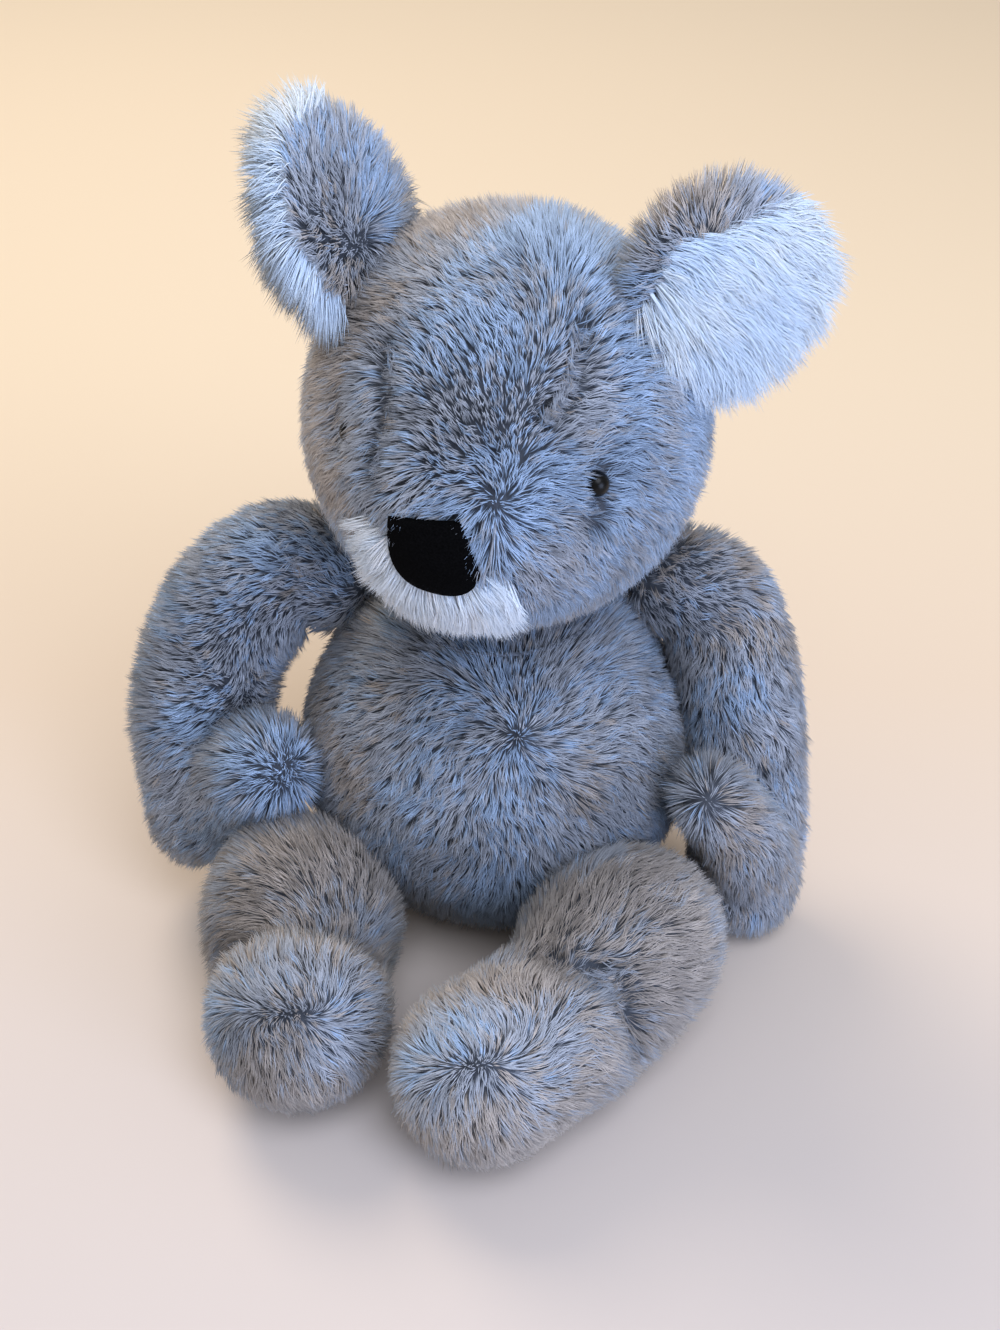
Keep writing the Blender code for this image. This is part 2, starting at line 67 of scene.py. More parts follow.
LEAN_ANGLES = (40, 80)  # degrees from the normal of a fully combed strand's lower and upper half
TWIST = (0.28, 0.08, 0.36, 0.2)  # radians by which a tuft, a strand, a broad and a fine swirl turn the pile
TONE = (0.14, 0.06, 0.08, 0.06)  # how much they lighten or darken the dye
BELLY_WHORLS = (  # middle, reach, lean, and the way that the pile lies, if it isn't away from the middle
    ((5.5, -44.6, 90), 34, 0.95, None),
    ((11, -27, 106), 12, 0.25, (0.4, -0.3, -1)),
    ((15, -54, 68), 11, 0.35, (0.3, 0, -1)),
    ((-25, -45, 60), 30, 0.9, (-0.5, 0, -1)),
    ((30, -40, 60), 30, 0.9, (0.5, 0, -1)),
    ((0, 58, 60), 60, 0.9, (0, 0, -1)),
)


def placed(name, data):
    """An object with its data, linked to the scene."""
    piece = bpy.data.objects.new(name, data)
    bpy.context.scene.collection.objects.link(piece)
    return piece


def new_piece(name, bm):
    mesh = bpy.data.meshes.new(name)
    bm.to_mesh(mesh)
    bm.free()
    return placed(name, mesh)


def ball(bm, middle, halves, detail=4):
    """Adds a round lump, given in mm."""
    verts = bmesh.ops.create_icosphere(bm, subdivisions=detail, radius=1)["verts"]
    bmesh.ops.scale(bm, vec=Vector(halves) * MM, verts=verts)
    bmesh.ops.translate(bm, vec=Vector(middle) * MM, verts=verts)
    return verts


def settle(piece, modifiers):
    """Applies modifiers, given as (kind, settings), to the piece's mesh."""
    for kind, settings in modifiers:
        modifier = piece.modifiers.new(kind, kind)
        for key, value in settings.items():
            setattr(modifier, key, value)
    graph = bpy.context.evaluated_depsgraph_get()
    mesh = bpy.data.meshes.new_from_object(piece.evaluated_get(graph))
    piece.modifiers.clear()
    piece.data = mesh
    mesh.shade_smooth()


def stuffed(name, bm, seats=(), voxel=1.8, rounds=6):
    """Lumps grown into one closed skin, less the round seats that are sunk in it."""
    piece = new_piece(name, bm)
    settle(piece, [
        ("REMESH", {"mode": "VOXEL", "voxel_size": voxel * MM}),
        ("SMOOTH", {"factor": 0.5, "iterations": rounds}),
    ])
    for middle, radius in seats:
        bm = bmesh.new()
        ball(bm, middle, (radius,) * 3)
        tool = new_piece("seat", bm)
        settle(piece, [("BOOLEAN", {"operation": "DIFFERENCE", "object": tool, "solver": "EXACT"})])
        bpy.data.objects.remove(tool)
    return piece


def skin_vectors(mesh):
    """The places, in mm, and the normals of a mesh's vertices."""
    found = []
    for key in ("co", "normal"):
        values = np.empty(len(mesh.vertices) * 3, np.float32)
        mesh.vertices.foreach_get(key, values)
        found.append(values.reshape(-1, 3).astype(float))
    return found[0] / MM, found[1]


def unit(vectors):
    return vectors / np.maximum(np.linalg.norm(vectors, axis=-1, keepdims=True), 1e-9)


def flat(vectors, normals):
    """The part of each vector that lies along the skin."""
    return vectors - normals * (vectors * normals).sum(1)[:, None]


def fading(*shares):
    """1 in a middle, fading to 0 outwards, from distances that are given as shares of their reach."""
    return np.exp(-sum(share**2 for share in shares))


def ramp(values, start, end):
    """0 up to the start and 1 beyond the end, which may be the lower of the two."""
    return np.clip((values - start) / (end - start), 0, 1)


def within(places, middle, halves, grow):
    return np.linalg.norm((places - np.array(middle)) / (np.array(halves) + grow), axis=1) < 1


def aside(places, normals, line):
    """How far along the skin each place lies from a crease, which is given as points in mm."""
    line = np.array(line, float)
    nearest = np.full((len(places), 3), 1e6)
    for start, end in zip(line, line[1:]):
        way = end - start
        share = np.clip((places - start) @ way / (way @ way), 0, 1)
        gap = places - start - share[:, None] * way
        nearer = (gap**2).sum(1) < (nearest**2).sum(1)
        nearest[nearer] = gap[nearer]
    return flat(nearest, normals)


def nearness(places, normals, line, reach):
    """1 on a crease, fading to 0 beyond its reach."""
    far = np.linalg.norm(places - np.mean(line, axis=0), axis=1) > 60
    return np.where(far, 0, fading(np.linalg.norm(aside(places, normals, line), axis=1) / reach))


def parted(places, normals, lean, lines, reach=3.0):
    """Lays the pile away from each crease on both its sides, so that the crease shows."""
    for line in lines:
        near = nearness(places, normals, line, reach)[:, None]
        lean = lean * (1 - 0.5 * near) + unit(aside(places, normals, line)) * 0.4 * near
    return lean


def creased(piece, creases=()):
    """Draws the skin in along its creases, given as (line, reach, depth), and rests it on the floor."""
    places, normals = skin_vectors(piece.data)
    depth = np.zeros(len(places))
    for line, reach, deep in creases:
        depth += nearness(places, normals, line, reach) * deep
    places -= normals * depth[:, None]
    places[:, 2] = np.maximum(places[:, 2], SKIN_FLOOR)
    piece.data.vertices.foreach_set("co", (places * MM).astype(np.float32).ravel())
    piece.data.update()


def ripple(places, size, seed):
    """A smooth random value, about -1 to 1, with waves of the given size in mm."""
    random = np.random.default_rng(seed)
    total = np.zeros(len(places))
    for _ in range(8):
        wave = unit(random.normal(size=3)) * 2 * math.pi / (size * random.uniform(0.7, 1.5))
        total += np.sin(places @ wave + random.uniform(0, 2 * math.pi))
    return total / 2.8


def sown(skin, density, seed, keep):
    """Roots spread evenly over a skin, density of them in each square mm times what keep() gives."""
    mesh = skin.data
    mesh.calc_loop_triangles()
    corners = np.empty(len(mesh.loop_triangles) * 3, np.int32)
    mesh.loop_triangles.foreach_get("vertices", corners)
    corners = corners.reshape(-1, 3)
    places, normals = skin_vectors(mesh)
    a, b, c = (places[corners[:, k]] for k in range(3))
    share = np.linalg.norm(np.cross(b - a, c - a), axis=1) / 2
    share *= keep((a + b + c) / 3, unit(normals[corners].mean(1)))
    count = int(share.sum() * density)
    random = np.random.default_rng(seed)
    at = (np.arange(count) + random.random(count)) / count
    picked = np.minimum(np.searchsorted(np.cumsum(share) / share.sum(), at), len(share) - 1)
    s, t = np.sqrt(random.random(count)), random.random(count)
    mix = np.stack([1 - s, s * (1 - t), s * t], 1)[:, :, None]
    return (places[corners[picked]] * mix).sum(1), unit((normals[corners[picked]] * mix).sum(1))


def apart(places, middle):
    """The way from a whorl's middle, a point or the two ends of a line, to each place."""
    ends = np.array(middle, float).reshape(-1, 3)
    way = ends[-1] - ends[0]
    share = np.clip((places - ends[0]) @ way / max(way @ way, 1e-9), 0, 1)
    return places - ends[0] - share[:, None] * way


def whorled(places, whorls, reach=5.0):
    """1 in the middle of each whorl, where the pile is crowded and its tips face out, and where painted
    light makes those tips paler.
    """
    total = 0
    for middle, _, _, way in whorls:
        if way is None:
            total = total + fading(np.linalg.norm(apart(places, middle), axis=1) / reach)
    return total


def combed(places, normals, whorls):
    """How the pile lies: a tangent at each root, whose length, 0 to 1, says how far the pile leans."""
    lean = np.zeros_like(places)
    total = np.zeros(len(places))
    for middle, reach, amount, way in whorls:
        away = apart(places, middle)
        distance = np.linalg.norm(away, axis=1)
        weight = fading(distance / reach) + 1e-5
        if way is None:
            away = away / np.maximum(distance, 6)[:, None]
            away = away + 0.4 * np.cross(normals, away)  # a whorl turns a little
        else:
            away = np.broadcast_to(unit(np.array(way, float)), places.shape)
        lean += (weight * amount)[:, None] * flat(away, normals)
        total += weight
    lean /= total[:, None]
    length = np.linalg.norm(lean, axis=1, keepdims=True)
    return lean / np.maximum(length, 1e-6) * np.clip(length * 1.15, 0, 1)


def radiating(roots, middle):
    """Tangents of length 1 at the roots, away from a middle."""
    return flat(unit(roots[0] - middle), roots[1])


def strand_form(rings):
    """One strand, a three-sided spindle: its share of the way to the tip, its sides, and its faces."""
    bm = bmesh.new()
    bmesh.ops.create_uvsphere(bm, u_segments=3, v_segments=rings + 1, radius=1)
    bmesh.ops.triangulate(bm, faces=bm.faces)
    bm.verts.index_update()
    points = np.array([vert.co for vert in bm.verts])
    faces = np.array([[vert.index for vert in face.verts] for face in bm.faces])
    bm.free()
    along = 1 - np.arccos(np.clip(points[:, 2], -1, 1)) / math.pi
    sides = points[:, :2] * np.where(np.abs(points[:, 2]) > 0.999, 0, 1)[:, None]
    return along, sides / np.maximum(np.linalg.norm(sides, axis=1, keepdims=True), 1e-6), faces


def grown(
    roots, lean, length, width, seed,
    tuft=7, pull=0.5, shade=0.0, warmth=0.0, fray=0.11, rings=1, droop=0.0, lift=0.0,
):
    """Strands on their roots: each leaves near the normal, bends over as the pile lies, and joins its tuft.

    Lengths are in mm. tuft is the strands in a tuft, pull how far they gather, shade lightens or darkens the
    dye, mostly as painted light and shade, warmth shifts it warm or cool, in places as painted lamp light,
    fray sets the strands apart, droop lowers the tips, and lift takes the painted shade off the roots, up to
    as pale as the tips.
    """
    places, normals = roots
    count = len(places)
    random = np.random.default_rng(seed)
    middles = places[random.choice(count, max(8, int(count / tuft)), replace=False)]
    tree = kdtree.KDTree(len(middles))
    for index, middle in enumerate(middles.tolist()):
        tree.insert(middle, index)
    tree.balance()
    number = np.array([tree.find(place)[1] for place in places.tolist()])
    tufts = len(middles)

    twist = TWIST[0] * random.normal(size=tufts)[number] + TWIST[1] * random.normal(size=count)
    twist += TWIST[2] * ripple(places, 22, seed + 5) + TWIST[3] * ripple(places, 7, seed + 6)
    amount = np.linalg.norm(lean, axis=1) + 0.08 * random.normal(size=tufts)[number]
    amount = np.clip(amount, 0.04, 1)
    forward = unit(lean + 1e-6)
    across = np.cross(normals, forward)
    forward = forward * np.cos(twist)[:, None] + across * np.sin(twist)[:, None]
    low, high = (amount[:, None] * math.radians(angle) for angle in LEAN_ANGLES)
    half = length * random.uniform(0.84, 1.06, count) * random.uniform(0.9, 1.08, tufts)[number] * 0.5
    jitter = fray * random.normal(size=(count, 3))
    root = places - normals * 0.5
    bend = root + half[:, None] * unit(normals * np.cos(low) + forward * np.sin(low) + jitter * 0.4)
    tip = bend + half[:, None] * unit(normals * np.cos(high) + forward * np.sin(high) + jitter)
    gather = flat(places - middles[number], normals) * np.broadcast_to(pull, count)[:, None]
    bend -= gather * 0.3
    tip -= gather
    tip[:, 2] -= droop

    along, sides, faces = strand_form(rings)
    axis = unit(tip - root)
    side = unit(np.cross(axis, unit(random.normal(size=(count, 3)))))
    rise = np.cross(axis, side)
    thick = (width / 2 * random.uniform(0.75, 1.3, count))[:, None]
    cloud = np.empty((count, len(along), 3))
    for k, t in enumerate(along):
        spine = root * (1 - t) ** 2 + bend * 2 * t * (1 - t) + tip * t**2
        cloud[:, k] = spine + (side * sides[k, 0] + rise * sides[k, 1]) * thick
    cloud[:, :, 2] = np.maximum(cloud[:, :, 2], 0.2 + 0.6 * random.random(count)[:, None])

    tone = 0.5 + TONE[0] * random.normal(size=tufts)[number] + TONE[1] * random.normal(size=count)
    tone += TONE[2] * ripple(places, 26, seed + 9) + TONE[3] * ripple(places, 8, seed + 11)
    hue = warmth + 0.5 * ripple(places, 30, seed + 3) + 0.35 * random.normal(size=tufts)[number]
    outward = side[:, None] * sides[None, :, :1] + rise[:, None] * sides[None, :, 1:]
    return {
        "places": places, "cloud": cloud, "form": (along, sides, faces),
        "soft": unit(normals[:, None] * 0.8 + outward * 0.55),
        "tone": np.clip(tone + shade, 0.03, 0.97),
        "band": np.clip(np.round(hue), -1, 1) + 1,
        "lift": np.broadcast_to(lift, count),
    }


def sewn(name, pile, mask, look, body):
    """The masked strands as one piece. Its UV map has each strand's dye, with its painted light and shade,
    across, and root to tip along.
    """
    along, sides, faces = pile["form"]
    cloud, soft, tone, band, lift = (pile[key][mask] for key in ("cloud", "soft", "tone", "band", "lift"))
    count, size = len(cloud), len(along)
    every = (faces[None] + size * np.arange(count)[:, None, None]).reshape(-1, 3).astype(np.int32)
    mesh = bpy.data.meshes.new(name)
    mesh.vertices.add(count * size)
    mesh.vertices.foreach_set("co", (cloud * MM).astype(np.float32).ravel())
    mesh.loops.add(every.size)
    mesh.loops.foreach_set("vertex_index", every.ravel())
    mesh.polygons.add(len(every))
    mesh.polygons.foreach_set("loop_start", np.arange(0, every.size, 3, dtype=np.int32))
    uv = np.empty((count, faces.size, 2), np.float32)
    turn = np.where(np.abs(sides).sum(1) > 0, np.arctan2(sides[:, 1], sides[:, 0]) / math.pi, 0) * 0.012
    # across: the dye band and tone, with the painted light and shade put in by shade and warmth; along: lift
    # raises the roots out of the painted root shade
    dye_light_and_shade = np.clip(tone[:, None] + turn[faces.ravel()][None] * 3, 0.02, 0.98)
    uv[:, :, 0] = (band[:, None] + dye_light_and_shade) / 3
    uv[:, :, 1] = 0.98 - (0.96 - lift[:, None]) * (1 - along[faces.ravel()][None])
    mesh.uv_layers.new(name="OFBake").data.foreach_set("uv", uv.ravel())
    mesh.update(calc_edges=True)
    mesh.shade_smooth()
    mesh.normals_split_custom_set_from_vertices(soft.reshape(-1, 3).astype(np.float32))
    mesh.materials.append(look)
    piece = placed(name, mesh)
    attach(piece, body)


def linear(code, share=1.0):
    """An sRGB hex colour as linear RGBA, times a share."""
    channels = [int(code[k : k + 2], 16) / 255 for k in (0, 2, 4)]
    return (*[(c / 12.92 if c <= 0.04045 else ((c + 0.055) / 1.055) ** 2.4) * share for c in channels], 1)


def add_node(tree, kind, inputs=(), stops=(), **settings):
    """A node with its settings, colour stops and inputs, each a value or another node's output."""
    node = tree.nodes.new(kind)
    for key, value in settings.items():
        setattr(node, key, value)
    for index, (place, colour) in enumerate(stops):
        while len(node.color_ramp.elements) <= index:
            node.color_ramp.elements.new(1)
        node.color_ramp.elements[index].position = place
        node.color_ramp.elements[index].color = colour
    for key, value in dict(inputs).items():
        if isinstance(value, bpy.types.NodeSocket):
            tree.links.new(value, node.inputs[key])
        else:
            node.inputs[key].default_value = value
    return node


def new_look(name, settings):
    """A material, its node tree, and its shader with the constant inputs set."""
    look = bpy.data.materials.new(name)
    look.use_nodes = True
    shader = look.node_tree.nodes["Principled BSDF"]
    for key, value in settings.items():
        shader.inputs[key].default_value = value
    return look, look.node_tree, shader


def painted(tree, shader, colour, bump=None):
    """Links a pattern's last nodes to the shader."""
    tree.links.new(colour.outputs[0], shader.inputs["Base Color"])
    if bump:
        tree.links.new(bump.outputs[0], shader.inputs["Normal"])


def pile_material(name, dyes, shades, spread=0.4, sheen=0.25):
    """Polyester pile, dyed in the fibre, with painted shade that darkens each strand towards its root
    between the others, and painted light that leaves the tips pale and soft where they catch the light.

    The strand's place across the UV map picks one of the dyes and how light it is, painted light and shade
    included, and its place along the map, root to tip, the painted root shade.
    """
    look, tree, shader = new_look(name, {
        "Roughness": 0.85, "Specular IOR Level": 0.3, "Sheen Weight": sheen, "Sheen Roughness": 0.5,
    })
    lots = [(k / 3, linear(code)) for k, code in enumerate(dyes)]
    shades = [(place, (share, share, share, 1)) for place, share in shades]
    place = add_node(tree, "ShaderNodeUVMap", uv_map="OFBake")
    split = add_node(tree, "ShaderNodeSeparateXYZ", {0: place.outputs[0]})
    dye_light_and_shade = add_node(tree, "ShaderNodeValToRGB", {0: split.outputs[0]}, lots)
    dye_light_and_shade.color_ramp.interpolation = "CONSTANT"
    thirds = add_node(tree, "ShaderNodeMath", {0: split.outputs[0], 1: 3.0}, operation="MULTIPLY")
    lot = add_node(tree, "ShaderNodeMath", {0: thirds.outputs[0]}, operation="FRACT")
    tone = add_node(tree, "ShaderNodeMapRange", {0: lot.outputs[0], 3: 1 - spread, 4: 1 + spread})
    # painted shade: each strand darkens along the map towards its root
    depth = add_node(tree, "ShaderNodeValToRGB", {0: split.outputs[1]}, shades)
    light = add_node(
        tree, "ShaderNodeMath", {0: tone.outputs[0], 1: depth.outputs[0]}, operation="MULTIPLY"
    )
    colour = add_node(
        tree, "ShaderNodeVectorMath", {0: dye_light_and_shade.outputs[0], "Scale": light.outputs[0]}, operation="SCALE"
    )
    painted(tree, shader, colour)
    return look


def knit_material(name, code):
    """Warp-knitted polyester ground, dyed with the pile: fine matt rows that show where the pile parts."""
    look, tree, shader = new_look(name, {"Roughness": 0.95})
    place = add_node(tree, "ShaderNodeTexCoord").outputs["Object"]
    rows = add_node(tree, "ShaderNodeTexWave", {0: place, 1: 1 / (1.2 * MM) / 6.3, 2: 2.0})
    mottle = add_node(tree, "ShaderNodeTexNoise", {0: place, 2: 1 / (4 * MM)})
    stops = [(0.3, linear(code, 0.7)), (0.7, linear(code, 1.2))]
    colour = add_node(tree, "ShaderNodeValToRGB", {0: mottle.outputs[0]}, stops)
    relief = {"Height": rows.outputs[0], "Distance": 0.3 * MM, "Strength": 0.5}
    painted(tree, shader, colour, add_node(tree, "ShaderNodeBump", relief))
    return look


def skinned(piece, look, body, nodes, white=None):
    """Finishes a stuffed skin: its ground, white where white() says so, its body, and the solids it hides.
    """
    piece.data.materials.clear()
    piece.data.materials.append(look)
    if white is not None:
        piece.data.materials.append(WHITE_GROUND)
        for face in piece.data.polygons:
            face.material_index = int(white(np.array([face.center]) / MM, np.array([face.normal]))[0])
    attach(piece, body)
    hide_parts(*nodes)


# Painted shade: the grey pile falls to near black between its roots.
GREY_PILE = pile_material(
    "grey long-pile plush", ("aaa29d", "a3a9b5", "9cb2cf"),
    [(0, 0.05), (0.3, 0.36), (0.65, 0.88), (1, 1.06)], spread=0.5,
)
GREY_GROUND = knit_material("grey knitted ground", "484d57")
WHITE_GROUND = knit_material("white knitted ground", "d9dde4")
SEATS = [
    *[(place, SHOULDER_RADIUS - PILE_DEPTH) for place in SHOULDERS.values()],
    *[(place, THIGH_RADIUS - PILE_DEPTH) for place in HIPS.values()],
]

bm = bmesh.new()
halves = [half - PILE_DEPTH for half in TORSO_HALVES]
for vert in ball(bm, TORSO_MIDDLE, halves, 5):
    rise = (vert.co.z / MM - TORSO_MIDDLE[2]) / halves[2]
    bulge = 1 + TORSO_SETTLED[0] + TORSO_SETTLED[1] * rise if vert.co.x < 0 else 1
    vert.co.x *= (1 - TORSO_TAPER * rise) * bulge
    vert.co.y *= 1 - TORSO_TAPER * rise
torso = stuffed("torso_skin", bm, [(place, radius + SEAM_GAP) for place, radius in SEATS])
creased(torso)
skinned(torso, GREY_GROUND, "torso", ("torso_cover", "torso_filling", "pellet_bag"))


def torso_share(places, normals):
    """How thick the pile stands: none in the seats and under the head, and worn thin underneath."""
    keep = np.where(normals[:, 1] > 0.3, 0.5, 1.05) * np.where(normals[:, 2] < -0.8, 0.5, 1)
    keep *= 1 + 1.3 * whorled(places, BELLY_WHORLS)
    keep[within(places, HEAD_MIDDLE, HEAD_HALVES, -7)] = 0
    for middle, radius in SEATS:
        keep[np.linalg.norm(places - np.array(middle), axis=1) < radius + BARE_RIM] = 0
    return keep


roots = sown(torso, density=2.4, seed=11, keep=torso_share)
x, _, z = roots[0].T
collar = ramp(z, *COLLAR)
lean = combed(*roots, BELLY_WHORLS) * (1 - 0.8 * collar)[:, None]
# Painted shade darkens the pile towards the bottom and on the toy's left side, and painted light makes it
# paler in the belly whorl, lifts its roots out of the painted root shade there, and tints it warm on the
# toy's right side.
shade = 0.12 * whorled(roots[0], BELLY_WHORLS, 7) - 0.08 - 0.2 * ramp(x, 0, 40) - 0.36 * ramp(z, 78, 38)
pile = grown(
    roots, lean, length=7.6 + 4.5 * collar, width=0.30, seed=12, tuft=5, pull=0.42, shade=shade,
    warmth=-0.9 * ramp(x, -18, -48) + 0.45, fray=0.09, lift=0.1 + 0.15 * whorled(roots[0], BELLY_WHORLS, 5),
)
for name, left, front in (
    ("torso_pile_front_left", True, True), ("torso_pile_front_right", False, True),
    ("torso_pile_back_left", True, False), ("torso_pile_back_right", False, False),
):
    mask = ((pile["places"][:, 0] > 0) == left) & ((pile["places"][:, 1] < 0) == front)
    sewn(name, pile, mask, GREY_PILE, "torso")


# ---- Head -------------------------------------------------------------------------------------
# The head is a stuffed ball with a short muzzle. A gusset runs from the nose over the crown, between two
# cheek panels and in front of a back panel, and a white long-pile chin panel is let in under the nose.

HEAD_MATRIX = (
    Matrix.Translation(HEAD_MIDDLE)
    @ Matrix.Rotation(math.radians(-14), 4, "Z")
    @ Matrix.Rotation(math.radians(5), 4, "Y")
)
# Angles on the head are azimuth and elevation, in degrees from straight ahead.
MUZZLE_RISE = 8.0
MUZZLE_DIP = -6
NOSE_AT = (-2.0, -3.2)
NOSE_DEGREE = 1.126  # mm along the muzzle for a degree
NOSE_TOP = 7.6  # from the nose's middle up to its flat top edge, and how that edge slopes
NOSE_SLOPE = 0.2
NOSE_CORNER = 6.6  # where its upper left corner is cut off, and how that cut slopes
NOSE_CUT = 0.47
NOSE_FRINGE = ((8, 6), (2, 7))  # where the pile falls over the nose: middle and reach of both angles
CROWN_SPECKLE = ((-4, 24), (36, 16))  # where the crown's pile is short and mottled
CHIN_SIDES = (-20, 15)
CHIN_BOTTOM = -32
CHIN_TOP = (-9, -3, -10)  # an azimuth, and the panel's top edge to the right and to the left of it
GUSSET_AT = -2  # the azimuth of its middle
GUSSET_HALF = (24, 0.28)  # how far its pile reaches to each side, and how much more for a degree upwards
NAPE_FROM = 95  # the azimuth at which the back panel starts
EYES = {"left": (37.3, 11.6), "right": (-37.3, 11.6)}
EYE_RADIUS = 3.2
EYE_SUNK = {"left": 3.5, "right": 5.8}
PARTING = (23.6, -53.2, 167.4)  # a gap in the pile under the left eye
GUSSET_SEAMS = (
    ((19.8, -33.3, 208.4), (16.8, -43.8, 198.4), (11.3, -50.3, 191.8)),
    ((-27.2, -31.6, 203.1), (-27.8, -42.6, 191.4), (-29.3, -44.8, 187), (-30.9, -48.5, 178.1)),
)
CHEEK_CREASE = ((-43.2, -27.8, 190), (-43.3, -32.9, 177.6))
HEAD_SEAMS = (*GUSSET_SEAMS, CHEEK_CREASE)
HEAD_WHORLS = (
    ((0, -61, 173), 15, 0.9, None),
    ((-20.7, -53.4, 182.3), 8, 0.7, None),
    ((-6, -52, 193), 11, 0.35, (-0.3, 0, 1)),
    ((-2.4, -43.8, 203), 16, 0.45, (-0.6, 0.2, 0.8)),
    ((-7, -19, 219), 24, 0.85, (-0.8, 0.5, 0.3)),
    ((22, -52, 186), 14, 0.9, (0.9, 0, 0.35)),
    ((40, -38, 180), 22, 0.95, (0.9, 0.3, -0.25)),
    ((30, -48, 160), 16, 0.95, (0.6, 0, -0.9)),
    ((-38, -38, 185), 16, 0.9, (-0.6, 0.2, -0.6)),
    ((30, -25, 210), 16, 0.8, (0.6, 0.3, 0.3)),
    ((0, 50, 160), 60, 0.9, (0, 0, -1)),
)


def toward(azimuth, elevation):
    """A direction in the head, in degrees from straight ahead."""
    a, e = math.radians(azimuth), math.radians(elevation)
    return Vector((math.sin(a) * math.cos(e), -math.cos(a) * math.cos(e), math.sin(e)))


def on_head(way, lift):
    """The point at that height over the head's surface, in mm."""
    rise = MUZZLE_RISE * max(0, way.dot(toward(0, MUZZLE_DIP))) ** 7 + lift
    return HEAD_MATRIX @ (Vector([w * s for w, s in zip(way, HEAD_HALVES)]) + way * rise)


def head_angles(places):
    """Azimuth and elevation, in degrees, of places given in mm."""
    matrix = np.array(HEAD_MATRIX.inverted())
    local = unit(places @ matrix[:3, :3].T + matrix[:3, 3])
    return np.degrees(np.arctan2(local[:, 0], -local[:, 1])), np.degrees(np.arcsin(local[:, 2]))


def patch(angles, spot):
    """1 in the middle of a spot on the head, fading to 0 beyond its reaches."""
    return fading(*[(angle - middle) / reach for angle, (middle, reach) in zip(angles, spot)])


def chin_share(places):
    """True on the white chin panel: a crescent under and beside the nose."""
    azimuth, elevation = head_angles(places)
    step, right_top, left_top = CHIN_TOP
    across = (azimuth > CHIN_SIDES[0]) & (azimuth < CHIN_SIDES[1])
    return across & (elevation < np.where(azimuth < step, right_top, left_top)) & (elevation > CHIN_BOTTOM)


bm = bmesh.new()
for vert in ball(bm, (0, 0, 0), (1, 1, 1), 6):
    vert.co = on_head((vert.co / MM).normalized(), -PILE_DEPTH) * MM
head = stuffed("head_skin", bm, voxel=1.6, rounds=3)
eye_spots = [on_head(toward(*angles), -PILE_DEPTH) for angles in EYES.values()]
creased(head, [
    *[(seam, 2.8, 2.8) for seam in GUSSET_SEAMS],
    (CHEEK_CREASE, 4.0, 2.4),
    *[((spot, spot + Vector((0.1, 0, 0))), 5.0, 1.2) for spot in eye_spots],
    ((PARTING, np.array(PARTING) + (0, 0, 0.1)), 3.0, 2.5),
])
skinned(
    head, GREY_GROUND, "head", ("head_cover", "head_filling", "chin_panel"),
    lambda places, normals: chin_share(places),
)


def head_share(places, normals):
    """How thick the pile stands: none under the nose, over the left eye and the parting under it, and on the
    neck.
    """
    keep = np.where(normals[:, 1] > 0.3, 0.55, 1.1)
    keep[within(places, TORSO_MIDDLE, TORSO_HALVES, 1)] = 0
    azimuth, elevation = head_angles(places)
    across, up = (azimuth - NOSE_AT[0]) * NOSE_DEGREE, (elevation - NOSE_AT[1]) * NOSE_DEGREE
    below = up < NOSE_TOP - 1.5 + NOSE_SLOPE * across
    beside = across < NOSE_CORNER - 2 + NOSE_CUT * (NOSE_TOP - up)
    keep[(np.hypot(across / 12, up / 13) < 0.95) & below & beside] = 0
    for slit, wide, tall in ((eye_spots[0], 2.2, 3.5), (PARTING, 1.3, 2.6)):
        keep[np.linalg.norm((places - np.array(slit)) / (wide, 9, tall), axis=1) < 1] = 0
    for seam in HEAD_SEAMS:
        keep *= 1 + 0.4 * nearness(places, normals, seam, 2.0)
    keep *= 1 + 1.3 * whorled(places, HEAD_WHORLS)
    return keep


roots = sown(head, density=2.35, seed=21, keep=head_share)
azimuth, elevation = head_angles(roots[0])
white = chin_share(roots[0])
speckle = patch((azimuth, elevation), CROWN_SPECKLE)
cheek = ramp(np.abs(azimuth - GUSSET_AT), 16, 30) * ramp(elevation, 34, 22) * (np.abs(azimuth) < 100)
dents = [(np.array(spot) + (0, 0, 1.5), np.array(spot) - (0, 0, 1.5)) for spot in (eye_spots[0], PARTING)]
dent = sum(nearness(*roots, line, 3.2) for line in dents)
creases = sum(nearness(*roots, seam, 1.7) for seam in HEAD_SEAMS) + dent

# The pile leans as it is combed, parts at seams and dents, falls over the nose and hangs from the chin.
nose_spot = np.array(on_head(toward(*NOSE_AT), -PILE_DEPTH))
away = radiating(roots, nose_spot)
lean = combed(*roots, HEAD_WHORLS) * (1 - 0.45 * speckle)[:, None]
lean[white] = unit(away[white]) * 0.78
edge = np.hypot((azimuth - NOSE_AT[0]) / 11.5, (elevation - NOSE_AT[1]) / 13)
brow = np.where(white, 0, fading((edge - 1.05) / 0.2))
brow = brow * (0.4 + 0.7 * patch((azimuth, elevation), NOSE_FRINGE))
lean = lean * (1 - 0.75 * brow)[:, None] - unit(away) * (0.6 * brow)[:, None]
lean = parted(*roots, lean, (*GUSSET_SEAMS, *dents, *dents))
length = (7.4 - 1.6 * speckle + 2.0 * brow) * (1 - 0.45 * nearness(*roots, dents[0], 5.0))

